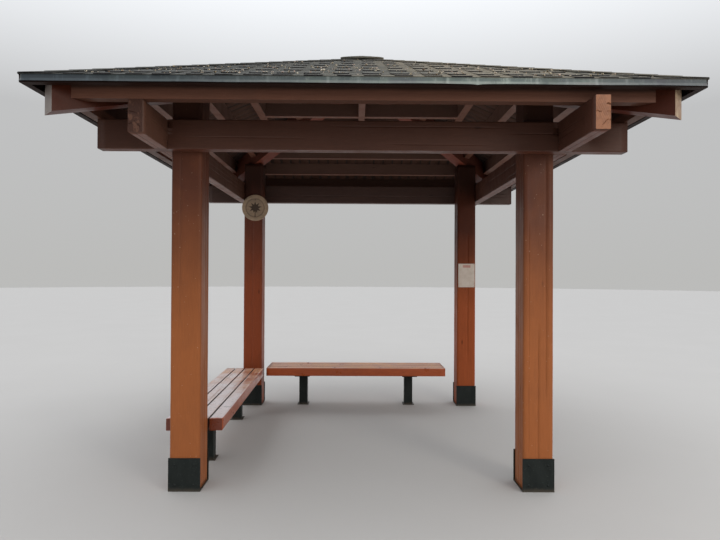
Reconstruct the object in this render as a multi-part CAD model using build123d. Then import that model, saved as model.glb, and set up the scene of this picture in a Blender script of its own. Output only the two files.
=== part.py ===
from build123d import *
from math import cos, hypot, radians, sqrt, tan
import os

# Square timber garden pavilion: four posts in steel shoes, beams lapped round their outer faces,
# hip rafters and rings of purlins under a low pyramid roof of shingles, and two plank benches.
# Millimetres, +Z up, +X to the right, front towards -Y. The origin is on the ground, at the centre.

# Posts
post_spacing = 2490
post_size = 210
post_chamfer = 9

# Post shoes, steel channels that are open at the two sides of the post
shoe_margin = 7
shoe_height = 233
shoe_thick = 8

# Lower beams, on the outer faces of the posts and out to the eave purlins that they carry
beam_thick = 90
beam_height = 205
beam_bottom = 2385
beam_chamfer = 4
cross_beam_setback = 45
long_end_extra = 145
lap_clearance = 1

# Roof planes, out to the face of the drip edge
roof_pitch = 24.2
eave_reach = 2016
eave_overhang = 141
deck_thick = 18

# Hip rafters
hip_width = 130
hip_depth = 215
hip_overhang = 30
hip_seat = 25

# Purlins, in rings that follow the roof: one over the posts, the others inside and outside it
purlin_thick = 70
purlin_depth = 115
eave_purlin_height = 136.6
rings_inside = 2
rings_outside = 1

# Collar ties, crossed under the peak
tie_thick = 60
tie_height = 120
tie_top_gap = 11

# Eave battens and metal drip edges
batten_width = 45
batten_height = 28
edge_thick = 2
edge_height = 39
edge_flange = 70
edge_foot = 16
edge_kick = 5
mitre_gap = 1

# Shingles and the caps that cover the hips and the peak
shingle_exposure = 143
shingle_butt = 7
shingle_top = 3
shingle_overhang = 6
cap_width = 230
cap_butt = 6
cap_top = 3
peak_cap_size = 400
peak_cap_thick = 16

# Benches
bench_top = 450
plank_count = 4
plank_width = 98
plank_thick = 90
plank_gap = 8
plank_chamfer = 4
bench_end_gap = 115
bench_post_gap = 15
bench_corner_gap = 5
back_bench_shift = -40
left_bench_turn = 1.6
leg_spacing = 1235
leg_size = 95
leg_wall = 4
leg_round = 8
bearer_length = 170
bearer_inset = 15
bearer_thick = 10
foot_size = 130
foot_thick = 6

# Round plaque and notice plate, on the front faces of the back posts
plaque_diameter = 304
plaque_rim = 41
plaque_thick = 18
plaque_recess = 5
plaque_chamfer = 4
plaque_offset = 23
plaque_clearance = 7
notice_width = 190
notice_height = 275
notice_thick = 4
notice_centre = 1520

# Sizes that follow from the ones above
post_line = post_spacing / 2
post_outer = post_line + post_size / 2
post_inner = post_line - post_size / 2
shoe_width = post_size + 2 * shoe_margin
beam_top = beam_bottom + beam_height
lap_level = beam_bottom + beam_height / 2
eave_purlin_reach = eave_reach - eave_overhang
cross_beam_reach = eave_purlin_reach - cross_beam_setback
side_beam_reach = eave_purlin_reach
slope = tan(radians(roof_pitch))
deck_peak = beam_top + eave_purlin_height + slope * eave_purlin_reach
hip_reach = eave_purlin_reach + hip_overhang
hip_slope = slope / sqrt(2)
hip_drop = hip_depth * hypot(1, hip_slope)
hip_setback = hip_width / sqrt(2)
post_top = deck_peak - hip_drop - slope * post_line + hip_seat
slope_stretch = hypot(1, slope)
deck_rise = deck_thick * slope_stretch
edge_rise = edge_thick * slope_stretch
deck_edge = eave_reach - edge_thick
eave_ring = eave_purlin_reach - purlin_thick / 2
ring_pitch = (eave_ring - post_line) / (rings_outside + 1)
ring_lines = [post_line + step * ring_pitch for step in range(-rings_inside, rings_outside + 1)]
shingle_edge = eave_reach + shingle_overhang
model_reach = eave_reach + ring_pitch
bench_under = bench_top - plank_thick
bench_width = plank_count * plank_width + (plank_count - 1) * plank_gap
bearer_width = bench_width - 2 * bearer_inset
back_bench_length = 2 * (post_inner - bench_end_gap)
left_bench_near = post_inner - bench_post_gap
left_bench_far = post_line - bench_width / 2 - bench_corner_gap
left_bench_length = left_bench_near + left_bench_far
left_bench_offset = (left_bench_far - left_bench_near) / 2
plaque_side = post_size / 2 + plaque_offset
plaque_rise = sqrt(max((plaque_diameter / 2) ** 2 - plaque_side**2, 0))
plaque_centre = beam_bottom - plaque_clearance - plaque_rise

# Quarter turns from the front, and from the front right corner
SIDES = {"front": 0, "right": 1, "back": 2, "left": 3}
CORNERS = {"front_right": 0, "back_right": 1, "back_left": 2, "front_left": 3}
ON_FLOOR = (Align.CENTER, Align.CENTER, Align.MIN)
UNDER = (Align.CENTER, Align.CENTER, Align.MAX)


def underside(distance):
    """Height of the deck's underside at a plan distance from the centre, measured square to the eave."""
    return deck_peak - slope * distance


def shingle_bed(distance):
    """Height of the bed that the shingles lie on, above the deck and the flange of the drip edge."""
    return underside(distance) + deck_rise + edge_rise


def turned(shape, quarters):
    """A shape made for the front, or for the front right corner, turned to another side or corner."""
    return Rot(0, 0, 90 * quarters) * shape


def side_prism(profile, reach):
    """A prism along X from a profile of (distance from the centre, height) points on the front side."""
    outline = [(-distance, height) for distance, height in profile]
    return extrude(Plane.YZ * Polygon(*outline, align=None), amount=reach, both=True)


def front_sector(setback):
    """The part of the plan between the two front hips, held back from each hip's centre line."""
    outline = [(0, -setback), (setback - model_reach, -model_reach), (model_reach - setback, -model_reach)]
    return extrude(Polygon(*outline, align=None), amount=2 * deck_peak)


def pyramid(peak, half):
    """The solid under a square pyramid with the roof's pitch, down to the ground."""
    eave = peak - slope * half
    gable = Polygon((-half, 0), (-half, eave), (0, peak), (half, eave), (half, 0), align=None)
    ridge = extrude(Plane.YZ * gable, amount=half, both=True)
    return ridge & turned(ridge, 1)


def post():
    """A square post with chamfered corners, from the floor of its shoe to the seat of the hip rafter."""
    section = chamfer(Rectangle(post_size, post_size).vertices(), post_chamfer)
    return Pos(post_line, -post_line, shoe_thick) * extrude(section, amount=post_top - shoe_thick)


def post_shoe():
    """A steel channel under a post, with one tall plate on its front face and one on its back face."""
    inner = post_size / 2
    outer = inner + shoe_thick
    channel = Polygon(
        (-outer, 0), (outer, 0), (outer, shoe_height), (inner, shoe_height),
        (inner, shoe_thick), (-inner, shoe_thick), (-inner, shoe_height), (-outer, shoe_height),
        align=None,
    )
    return extrude(Plane.YZ * channel, amount=shoe_width / 2, both=True)


def lap_notch(low, high):
    """The room that a lower beam leaves for the beam that crosses it at a corner of the frame."""
    side = beam_thick + 2 * lap_clearance
    centre = post_outer + beam_thick / 2
    return Pos(centre, -centre, low) * Box(side, side, high - low, align=ON_FLOOR)


def beam_blank(near, far):
    """A beam with chamfered edges, on the front faces of the posts, before it is halved."""
    section = chamfer(Rectangle(beam_thick, beam_height).vertices(), beam_chamfer)
    run = extrude(Plane.YZ * section, amount=far - near)
    return Pos(near, -post_outer - beam_thick / 2, lap_level) * run


def cross_beam():
    """The front beam, on the front faces of the posts, halved from above for the side beams."""
    notch = lap_notch(lap_level, beam_top)
    return beam_blank(-cross_beam_reach, cross_beam_reach) - notch - mirror(notch, Plane.YZ)


def side_beam(front_reach):
    """The right side beam, on the outer faces of the posts, halved from below for the cross beams."""
    notch = lap_notch(beam_bottom, lap_level)
    return turned(beam_blank(-front_reach, side_beam_reach), 1) - notch - mirror(notch, Plane.XZ)


def hip_rafter():
    """A hip rafter, backed to the two roof planes, notched over its post and mitred at the peak."""
    run = hip_reach * sqrt(2)
    low = deck_peak - hip_drop
    profile = Polygon((0, low), (run, low - hip_slope * run), (run, deck_peak), (0, deck_peak), align=None)
    diagonal = Plane(origin=(0, 0, 0), x_dir=(1, -1, 0), z_dir=(-1, -1, 0))
    blank = extrude(diagonal * profile, amount=hip_width / 2, both=True)
    quarter = Box(eave_reach, eave_reach, deck_peak, align=(Align.MIN, Align.MAX, Align.MIN))
    seat = Pos(post_line, -post_line) * Box(post_size, post_size, post_top, align=ON_FLOOR)
    return blank & pyramid(deck_peak, eave_reach) & quarter - seat


def purlin(centre, bottom):
    """A purlin of the front slope, bevelled to the deck and cut to the sides of both hip rafters."""
    inner = centre - purlin_thick / 2
    outer = centre + purlin_thick / 2
    profile = [(inner, bottom), (outer, bottom), (outer, underside(outer)), (inner, underside(inner))]
    return side_prism(profile, outer) & front_sector(hip_setback)


def slope_purlins():
    """The purlins of the front slope that the hip rafters carry, one for each ring."""
    return Compound([purlin(line, underside(line) - purlin_depth).solid() for line in ring_lines])


def collar_tie(halved_from):
    """A tie between the inner faces of two purlins, halved over the tie that crosses it."""
    reach = post_line - ring_pitch - purlin_thick / 2
    bottom = underside(reach) - tie_top_gap - tie_height
    room = tie_thick + 2 * lap_clearance
    tie = Pos(0, 0, bottom) * Box(2 * reach, tie_thick, tie_height, align=ON_FLOOR)
    return tie - Pos(0, 0, bottom + tie_height / 2) * Box(room, room, tie_height, align=halved_from)


def roof_deck():
    """The boarded deck of the front slope, mitred to its neighbours over the hip rafters."""
    profile = [
        (0, underside(0)), (deck_edge, underside(deck_edge)),
        (deck_edge, underside(deck_edge) + deck_rise), (0, underside(0) + deck_rise),
    ]
    return side_prism(profile, deck_edge) & front_sector(0)


def eave_batten():
    """The strip under the edge of the front deck, bevelled to it."""
    inner = deck_edge - batten_width
    bottom = underside(deck_edge) - batten_height
    profile = [(inner, bottom), (deck_edge, bottom), (deck_edge, underside(deck_edge)), (inner, underside(inner))]
    return side_prism(profile, deck_edge) & front_sector(mitre_gap)


def drip_edge():
    """The folded metal edge of the front eave: a flange on the deck, a face and a kicked-out foot."""
    inner = deck_edge - edge_flange
    bed = underside(inner) + deck_rise
    corner = underside(deck_edge) + deck_rise
    foot = corner - edge_height
    profile = [
        (inner, bed), (deck_edge, corner), (deck_edge, foot + edge_foot), (deck_edge + edge_kick, foot),
        (eave_reach + edge_kick, foot), (eave_reach, foot + edge_foot),
        (eave_reach, shingle_bed(eave_reach)), (inner, shingle_bed(inner)),
    ]
    return side_prism(profile, model_reach) & front_sector(mitre_gap)


def slope_shingles():
    """The shingle courses of the front slope, each thick at its butt and thin under the next course."""
    step = shingle_exposure / slope_stretch
    profile = [(0, shingle_bed(0)), (shingle_edge, shingle_bed(shingle_edge))]
    butt = shingle_edge
    while butt > 0:
        head = max(butt - step, 0)
        head_cover = shingle_butt - (shingle_butt - shingle_top) * (butt - head) / step
        profile.append((butt, shingle_bed(butt) + shingle_butt))
        profile.append((head, shingle_bed(head) + head_cover))
        butt = head
    return side_prism(profile, shingle_edge) & front_sector(0)


def cap_section(distance, cover):
    """The folded section of a hip cap, square to the hip, at a distance along the front right hip."""
    wing = cap_width / 2
    fall = hip_slope * wing
    bed = shingle_bed(distance) + shingle_butt
    across = Plane(origin=(distance, -distance, bed), x_dir=(1, 1, 0), z_dir=(1, -1, 0))
    outline = [(-wing, -fall), (0, 0), (wing, -fall), (wing, cover - fall), (0, cover), (-wing, cover - fall)]
    return across * Polygon(*outline, align=None)


def hip_cap():
    """The row of folded caps up the front right hip, each thick at its butt, trimmed to the eaves."""
    step = shingle_exposure / hypot(sqrt(2), slope)
    count = int(shingle_edge / step)
    row = Part()
    for index in range(count):
        butt = shingle_edge - index * step
        row += loft([cap_section(butt, cap_butt), cap_section(butt - step, cap_top)], ruled=True)
    side = shingle_edge - mitre_gap
    quarter = Box(side, side, 2 * deck_peak, align=(Align.MIN, Align.MAX, Align.MIN))
    return row & Pos(mitre_gap, -mitre_gap) * quarter


def peak_cap():
    """The folded square cap over the place where the four rows of hip caps meet."""
    bed = shingle_bed(0) + shingle_butt + cap_butt
    shell = pyramid(bed + peak_cap_thick, peak_cap_size) - pyramid(bed, peak_cap_size)
    return shell & Box(peak_cap_size, peak_cap_size, 2 * bed, align=ON_FLOOR)


def bench_planks(length):
    """The planks of a bench along X, side by side at the back of the pavilion."""
    section = chamfer(Rectangle(plank_width, plank_thick).vertices(), plank_chamfer)
    plank = extrude(Plane.YZ * section, amount=length / 2, both=True)
    pitch = plank_width + plank_gap
    first = post_line - pitch * (plank_count - 1) / 2
    rows = [Pos(0, first + pitch * row, bench_top - plank_thick / 2) * plank for row in range(plank_count)]
    return Compound([row.solid() for row in rows])


def bench_leg():
    """A square tube leg with a foot plate and a bearer plate across the planks."""
    tube = RectangleRounded(leg_size, leg_size, leg_round)
    bore = leg_size - 2 * leg_wall
    tube -= RectangleRounded(bore, bore, leg_round - leg_wall)
    leg = Pos(0, 0, foot_thick) * extrude(tube, amount=bench_under - bearer_thick - foot_thick)
    leg += Box(foot_size, foot_size, foot_thick, align=ON_FLOOR)
    leg += Pos(0, 0, bench_under) * Box(bearer_length, bearer_width, bearer_thick, align=UNDER)
    return leg


def bench_legs():
    """The two legs of a bench along X, under the middle of its planks."""
    places = [-leg_spacing / 2, leg_spacing / 2]
    return Compound([(Pos(place, post_line) * bench_leg()).solid() for place in places])


def back_side(shape):
    """A part of the back bench, moved sideways to where the bench stands."""
    return Pos(back_bench_shift, 0) * shape


def left_side(shape):
    """A bench part made for the back, set on the left and turned a little about its near end."""
    near_end = Pos(-post_line, -left_bench_near)
    askew = near_end * Rot(0, 0, left_bench_turn) * near_end.inverse()
    return askew * Pos(0, left_bench_offset) * turned(shape, 1)


def round_plaque():
    """A turned disc with a raised rim, on the front face of the back left post."""
    outer = plaque_diameter / 2
    inner = outer - plaque_rim
    face = plaque_thick - plaque_recess
    profile = Polygon(
        (0, 0), (outer, 0), (outer, plaque_thick - plaque_chamfer), (outer - plaque_chamfer, plaque_thick),
        (inner, plaque_thick), (inner, face), (0, face),
        align=None,
    )
    disc = revolve(Plane.XZ * profile, Axis.Z)
    return Pos(plaque_offset - post_line, post_inner, plaque_centre) * Rot(90, 0, 0) * disc


def notice_plate():
    """A flat plate on the front face of the back right post."""
    plate = Box(notice_width, notice_thick, notice_height, align=(Align.CENTER, Align.MAX, Align.CENTER))
    return Pos(post_line, post_inner, notice_centre) * plate


def build_frame():
    """Posts, shoes, lower beams, hip rafters, purlins and ties, by node name."""
    frame = {}
    for corner, quarters in CORNERS.items():
        frame[f"post_{corner}"] = turned(post(), quarters)
        frame[f"post_shoe_{corner}"] = Pos(turned(Pos(post_line, -post_line), quarters).position) * post_shoe()
        frame[f"hip_rafter_{corner}"] = turned(hip_rafter(), quarters)
    for side, quarters in SIDES.items():
        frame[f"eave_purlin_{side}"] = turned(purlin(eave_ring, beam_top), quarters)
        frame[f"slope_purlins_{side}"] = turned(slope_purlins(), quarters)
    frame["beam_front"] = cross_beam()
    frame["beam_back"] = turned(cross_beam(), 2)
    frame["beam_right"] = side_beam(side_beam_reach + long_end_extra)
    frame["beam_left"] = mirror(side_beam(side_beam_reach), Plane.YZ)
    frame["collar_tie_across"] = collar_tie(ON_FLOOR)
    frame["collar_tie_along"] = turned(collar_tie(UNDER), 1)
    return frame


def build_roof():
    """Deck, battens, drip edges, shingles and caps, by node name."""
    roof = {}
    for side, quarters in SIDES.items():
        roof[f"roof_deck_{side}"] = turned(roof_deck(), quarters)
        roof[f"shingles_{side}"] = turned(slope_shingles(), quarters)
    roof["eave_battens"] = Compound([turned(eave_batten(), quarters).solid() for quarters in SIDES.values()])
    roof["drip_edges"] = Compound([turned(drip_edge(), quarters).solid() for quarters in SIDES.values()])
    roof["hip_caps"] = Compound([turned(hip_cap(), quarters).solid() for quarters in CORNERS.values()])
    roof["peak_cap"] = peak_cap()
    return roof


def build_fittings():
    """The two benches, the plaque and the notice plate, by node name."""
    return {
        "bench_back_planks": back_side(bench_planks(back_bench_length)),
        "bench_back_legs": back_side(bench_legs()),
        "bench_left_planks": left_side(bench_planks(left_bench_length)),
        "bench_left_legs": left_side(bench_legs()),
        "round_plaque": round_plaque(),
        "notice_plate": notice_plate(),
    }


os.makedirs("parts", exist_ok=True)
for name, shape in {**build_frame(), **build_roof(), **build_fittings()}.items():
    export_step(shape, f"parts/{name}.step")
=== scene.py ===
import math
import bpy
import numpy as np
from mathutils import Matrix, Vector


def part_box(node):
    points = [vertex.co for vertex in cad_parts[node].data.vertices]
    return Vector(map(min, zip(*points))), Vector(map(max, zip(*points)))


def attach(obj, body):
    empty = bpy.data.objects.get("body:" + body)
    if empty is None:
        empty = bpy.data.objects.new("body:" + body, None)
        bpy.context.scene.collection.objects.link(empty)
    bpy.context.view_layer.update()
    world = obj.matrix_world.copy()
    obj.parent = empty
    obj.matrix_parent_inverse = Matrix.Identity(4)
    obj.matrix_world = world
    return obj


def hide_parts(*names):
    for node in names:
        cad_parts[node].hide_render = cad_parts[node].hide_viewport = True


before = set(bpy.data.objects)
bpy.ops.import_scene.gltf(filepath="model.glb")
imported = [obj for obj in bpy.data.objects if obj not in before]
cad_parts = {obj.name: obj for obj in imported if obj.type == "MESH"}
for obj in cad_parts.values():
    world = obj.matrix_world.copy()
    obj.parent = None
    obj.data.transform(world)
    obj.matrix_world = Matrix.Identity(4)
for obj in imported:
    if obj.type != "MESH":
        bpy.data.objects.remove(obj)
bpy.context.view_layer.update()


def extent(node):
    """The lowest and the highest corner of a node's box."""
    low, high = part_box(node)
    return np.array(low, float), np.array(high, float)


# Sizes of the pavilion in metres, from its frame where a box gives them: X to the right, Y to the back, Z up.
POST_LOW, POST_HIGH = extent("post_front_right")
POST_LINE, POST, POST_CHAMFER = (POST_LOW[0] + POST_HIGH[0]) / 2, POST_HIGH[0] - POST_LOW[0], 0.009
BEAM_LOW, BEAM_TOP = extent("beam_front")[0][2], extent("beam_right")[1][2]
BEAM_B, BEAM_H, BEAM_CHAMFER, LAP_GAP = 0.090, BEAM_TOP - BEAM_LOW, 0.004, 0.001
PURLIN_H, HIP_B = 0.1366, 0.130
PITCH = math.tan(math.radians(24.2))
STRETCH, HIP_PITCH = math.hypot(1, PITCH), PITCH / math.sqrt(2)
_, PURLIN_FRONT, PURLIN_LOW = extent("eave_purlin_front")[0]
DECK_PEAK, DECK_T = BEAM_TOP + PURLIN_H - PITCH * PURLIN_FRONT, 0.018
SHINGLE_EDGE, OVERHANG, EDGE_T, EXPOSURE = extent("shingles_front")[1][0], 0.006, 0.002, 0.143
EAVE = SHINGLE_EDGE - OVERHANG
HIP_REACH = extent("hip_rafter_front_right")[1][0] - HIP_B / (2 * math.sqrt(2))
EDGE_HIGH, EDGE_FOOT, EDGE_KICK, EDGE_FLANGE = 0.039, 0.016, 0.005, 0.070
PLANK_W, PLANK_T, PLANK_GAP, PLANK_ROUND = 0.098, 0.090, 0.008, 0.003
BENCH_CLEAR, BENCH_GAP, ASKEW = 0.015, 0.005, math.radians(1.6)
TAB_PITCH, TAB_START, TAB_WIDE, TAB_THICK, TUCK = 0.175, -0.130, 0.104, (0.0082, 0.0090), 0.02
HIP_CAP_HALF, PEAK_HALF, PLATE_T = 0.1125, 0.199, 0.008
ACROSS, PROFILE = 5, 6  # points of a shingle from side to side and round its profile
SIDES = ("front", "right", "back", "left")  # each a quarter turn on from the one before


# Shapes


def underside(s):
    """Height of the deck's underside at a plan distance s from the centre: peak less pitch times s."""
    return DECK_PEAK - PITCH * s


def bed(s):
    """Height of the bed of the shingles: the deck's underside plus deck and flange, measured plumb."""
    return underside(s) + (DECK_T + EDGE_T) * STRETCH


def sway(x, length, seed):
    """Smooth unevenness between -1 and 1: the mean of four sines of x with seeded lengths and phases."""
    rng = np.random.default_rng(seed)
    turns = 2 * np.pi / (length * rng.uniform(0.45, 1.6, 4))
    return np.sin(np.asarray(x)[..., None] * turns + rng.uniform(0, 2 * np.pi, 4)).mean(-1)


def gate(x, low, high, soft):
    """A smooth gate: 1 between low and high, falling to 0 over soft at each end."""
    rise = np.clip((x - low) / soft + 0.5, 0, 1)
    fall = np.clip((high - x) / soft + 0.5, 0, 1)
    return (rise * rise * (3 - 2 * rise)) * (fall * fall * (3 - 2 * fall))


def tube_faces(rows, ring, first=0):
    """Quads of an open tube of rows rings with ring points each, numbered ring by ring."""
    i, j = np.meshgrid(np.arange(rows - 1), np.arange(ring), indexing="ij")
    k = (j + 1) % ring
    a, b = i * ring, (i + 1) * ring
    return first + np.stack([a + j, a + k, b + k, b + j], -1).reshape(-1, 4)


def capped_tube(rows, ring):
    """Faces of the same tube with a flat cap on each end."""
    return [tube_faces(rows, ring), np.array([np.arange(ring)[::-1], (rows - 1) * ring + np.arange(ring)])]


def sheet_faces(rows, cols, first=0):
    """Quads of an open grid of rows by cols points."""
    i, j = np.meshgrid(np.arange(rows - 1), np.arange(cols - 1), indexing="ij")
    a = i * cols + j
    return first + np.stack([a, a + 1, a + cols + 1, a + cols], -1).reshape(-1, 4)


def shell_faces(n, m):
    """Quads of a thin closed sheet: a grid of n by m points, the same grid on its other face, and the rim."""
    rim = np.concatenate([np.arange(m), np.arange(1, n) * m + m - 1, n * m - 2 - np.arange(m - 1),
                          (n - 2 - np.arange(n - 2)) * m])
    after = np.roll(rim, -1)
    band = np.stack([rim, after, after + n * m, rim + n * m], -1)
    return np.concatenate([sheet_faces(n, m)[:, ::-1], sheet_faces(n, m, n * m), band])


def outward(points, faces):
    """Faces of a closed shape, outwards: they are reversed where the volume that they enclose is negative."""
    total = 0.0
    for group in faces:
        p = points[group]
        for k in range(1, group.shape[1] - 1):
            total += np.einsum("ij,ij->i", p[:, 0], np.cross(p[:, k], p[:, k + 1])).sum()
    return faces if total >= 0 else [group[:, ::-1] for group in faces]


def closed(points, *faces):
    """A closed shape as one part of a piece."""
    return [(points, outward(points, list(faces)))]


def many(points, faces):
    """Copies of one closed shape, all at once: points is (copies, n, 3) and faces index one copy."""
    count, n = points.shape[:2]
    shift = (np.arange(count) * n)[:, None, None]
    flat = points.reshape(-1, 3)
    copies = [(group[None] + shift).reshape(-1, group.shape[1]) for group in faces]
    return flat, outward(flat, copies)


def piece(name, parts, finish, stands_for=(), smooth=None, marks=None, uv=None):
    """One object from (points, face groups) parts, put into the mesh with foreach_set, riding on the root body.
    marks gives values per point, kept as attributes by name; uv is a pair per point, kept as the UV map."""
    points, loops, totals, first = [], [], [], 0
    for part_points, groups in parts:
        points.append(part_points)
        for group in groups:
            loops.append((group + first).ravel())
            totals.append(np.full(len(group), group.shape[1]))
        first += len(part_points)
    points, loops, totals = np.concatenate(points), np.concatenate(loops), np.concatenate(totals)
    mesh = bpy.data.meshes.new(name)
    mesh.vertices.add(len(points))
    mesh.vertices.foreach_set("co", points.astype(np.float32).ravel())
    mesh.loops.add(len(loops))
    mesh.loops.foreach_set("vertex_index", loops.astype(np.int32))
    mesh.polygons.add(len(totals))
    mesh.polygons.foreach_set("loop_start", np.concatenate([[0], np.cumsum(totals)[:-1]]).astype(np.int32))
    for key, values in (marks or {}).items():
        mark = mesh.attributes.new(key, "FLOAT", "POINT")
        mark.data.foreach_set("value", np.asarray(values, np.float32))
    if uv is not None:
        layer = mesh.uv_layers.new(name="UVMap")
        layer.data.foreach_set("uv", np.asarray(uv, np.float32)[loops].ravel())
    mesh.update(calc_edges=True)
    mesh.validate()
    if smooth is not None:
        mesh.polygons.foreach_set("use_smooth", np.ones(len(totals), bool))
        mesh.set_sharp_from_angle(angle=math.radians(smooth))
    mesh.materials.append(finish)
    made = bpy.data.objects.new(name, mesh)
    bpy.context.scene.collection.objects.link(made)
    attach(made, "root")
    if stands_for:
        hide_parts(*stands_for)


def turned(points, quarters):
    """Points turned about Z by quarter turns: (x, y) becomes (-y, x) at each."""
    x, y, z = np.moveaxis(np.asarray(points), -1, 0)
    for _ in range(quarters % 4):
        x, y = -y, x
    return np.stack([x, y, z], -1)


def section(b, h, chamfer, splits, step):
    """Points round a chamfered rectangle of width b and height h, about a step apart, with three at each split.
    Each has its side's start and direction, its place on it, and its split with -1, 0 or 1 for its bank."""
    sides = [((-b / 2, -h / 2), (1, 0), b), ((b / 2, -h / 2), (0, 1), h),
             ((b / 2, h / 2), (-1, 0), b), ((-b / 2, h / 2), (0, -1), h)]
    found = []
    for side, (start, run, length) in enumerate(sides):
        grooves = [(n, s[1]) for n, s in enumerate(splits) if s[0] == side]
        base = np.linspace(chamfer, length - chamfer, max(int(length / step), 2))
        spots = [(t, -1, 0) for t in base if all(abs(t - place) > 0.006 for n, place in grooves)]
        spots += [(place, n, bank) for n, place in grooves for bank in (-1, 0, 1)]
        found += [(start, run, *spot) for spot in sorted(spots, key=lambda spot: (spot[0], spot[2]))]
    corner, along, place, which, bank = (np.array(column) for column in zip(*found))
    return corner.astype(float), along.astype(float), place, which, bank


def lumber(stations, b, h, chamfer, splits, seed, low=None, high=None, checks=((), ()), step=0.006, lean=0.0004,
           draws=18):
    """A laminated timber: a chamfered rectangle of width b and height h carried along the stations a.
    Each split is (side, place, width, depth, from, to): three ring points that make a V-shaped groove, which
    wanders and opens along a. low and high bound the height at each station, for laps. checks are, for each
    end, (b0, h0, b1, h1, width, depth) cracks in its face, which is made of rings drawn in towards the middle.
    Returns the points as (a, b, h), the face groups, and a mark of 1 on the two end faces."""
    a = np.asarray(stations, float)[:, None]
    corner, along, place, which, bank = section(b, h, chamfer, splits, step)
    inward = np.stack([-along[:, 1], along[:, 0]], -1)
    t = np.repeat(place[None], len(a), 0)
    sink = sway(a + place[None] * 7 + 3 * corner.sum(1)[None], 0.7, seed) * lean + lean
    for n, (_, _, width, depth, start, end) in enumerate(splits):
        gap = gate(a, start, end, 0.25) * (0.65 + 0.35 * sway(a, 0.5, seed + 31 * n + 7))
        here = which == n
        t = np.where(here, t + 0.0022 * sway(a, 0.9, seed + 17 * n + 3) + bank * (0.0002 + width * gap), t)
        sink = np.where(here & (bank == 0), sink + depth * gap, sink)
    across = corner[None] + along[None] * t[..., None] + inward[None] * sink[..., None]
    rise = across[..., 1]
    if low is not None:
        rise = np.maximum(rise, low[:, None])
    if high is not None:
        rise = np.minimum(rise, high[:, None])
    body = np.stack([np.broadcast_to(a, rise.shape), across[..., 0], rise], -1)
    ring = body.shape[1]
    share = (1 - np.arange(1, draws + 1) / (draws + 1))[:, None, None]
    ends = []
    for end, sign in ((0, 1), (-1, -1)):
        middle = body[end].mean(0)
        inner = middle + (body[end][None] - middle) * share
        y, z = inner[..., 1], inner[..., 2]
        dent = 0.0006 * (sway(y * 9 + z * 4, 0.12, seed + 9) + 1)
        for y0, z0, y1, z1, width, depth in checks[end]:
            reach = math.hypot(y1 - y0, z1 - z0)
            u = ((y - y0) * (y1 - y0) + (z - z0) * (z1 - z0)) / reach**2
            v = ((y - y0) * (z1 - z0) - (z - z0) * (y1 - y0)) / reach + 0.003 * sway(u, 0.6, seed + 13)
            dent = np.maximum(dent, depth * np.exp(-((v / width) ** 2)) * gate(u, 0, 1, 0.2))
        inner[..., 0] += sign * dent
        ends.append((inner, middle[None]))
    (near, near_middle), (far, far_middle) = ends
    rings = [near[::-1], body, far]
    points = np.concatenate([near_middle, *(r.reshape(-1, 3) for r in rings), far_middle])
    rows, j = sum(map(len, rings)), np.arange(ring)
    k, last = (j + 1) % ring, 1 + (rows - 1) * ring
    fans = [np.stack([0 * j, 1 + k, 1 + j], -1), np.stack([0 * j + len(points) - 1, last + j, last + k], -1)]
    end_mark = np.zeros(len(points))
    end_mark[: 1 + draws * ring] = 1
    end_mark[-1 - draws * ring :] = 1
    return points, [tube_faces(rows, ring, 1), np.concatenate(fans)], end_mark


def placed(shape, axes, origin):
    """A shape with its own a, b and h axes laid along three given directions from an origin."""
    points, faces, end_mark = shape
    points = points @ np.array(axes, float) + np.array(origin, float)
    return points, outward(points, faces), end_mark


# Finishes


class Nodes:
    """The shader nodes of one tree. All methods but fill add a node and give its output."""

    def __init__(self, tree):
        tree.nodes.clear()
        self.tree = tree

    def fill(self, socket, value):
        """Another node's output is linked to the socket, and a plain value is set on it."""
        if isinstance(value, bpy.types.NodeSocket):
            self.tree.links.new(value, socket)
        else:
            socket.default_value = value

    def node(self, kind, settings=None, **sockets):
        """A node with its settings and its sockets, by name or as i0, i1 by number."""
        made = self.tree.nodes.new("ShaderNode" + kind)
        for key, value in (settings or {}).items():
            setattr(made, key, value)
        for key, value in sockets.items():
            self.fill(made.inputs[int(key[1:]) if key[1:].isdigit() else key.replace("_", " ")], value)
        return made.outputs[0]

    def coordinates(self, kind):
        """Texture coordinates of a kind."""
        return self.tree.nodes.new("ShaderNodeTexCoord").outputs[kind]

    def split(self, vector):
        """The three parts of a vector."""
        made = self.tree.nodes.new("ShaderNodeSeparateXYZ")
        self.fill(made.inputs[0], vector)
        return tuple(made.outputs)

    def ramp(self, value, *stops):
        """A colour ramp through (position, colour) stops; a number stands for a grey."""
        made = self.tree.nodes.new("ShaderNodeValToRGB")
        self.fill(made.inputs[0], value)
        bar = made.color_ramp
        while len(bar.elements) < len(stops):
            bar.elements.new(0.5)
        for element, (place, colour) in zip(bar.elements, stops):
            element.position = place
            element.color = (*colour, 1) if hasattr(colour, "__len__") else (colour, colour, colour, 1)
        return made.outputs[0]

    def mix(self, share, first, second, how="MIX"):
        """Two colours mixed by a share."""
        pair = [(*c, 1) if isinstance(c, tuple) else c for c in (first, second)]
        return self.node("MixRGB", {"blend_type": how}, Fac=share, Color1=pair[0], Color2=pair[1])

    def maths(self, how, first, second):
        """One step of arithmetic on two values."""
        return self.node("Math", {"operation": how}, i0=first, i1=second)

    def plus(self, first, second):
        return self.maths("ADD", first, second)

    def minus(self, first, second):
        return self.maths("SUBTRACT", first, second)

    def times(self, first, second):
        return self.maths("MULTIPLY", first, second)


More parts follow.
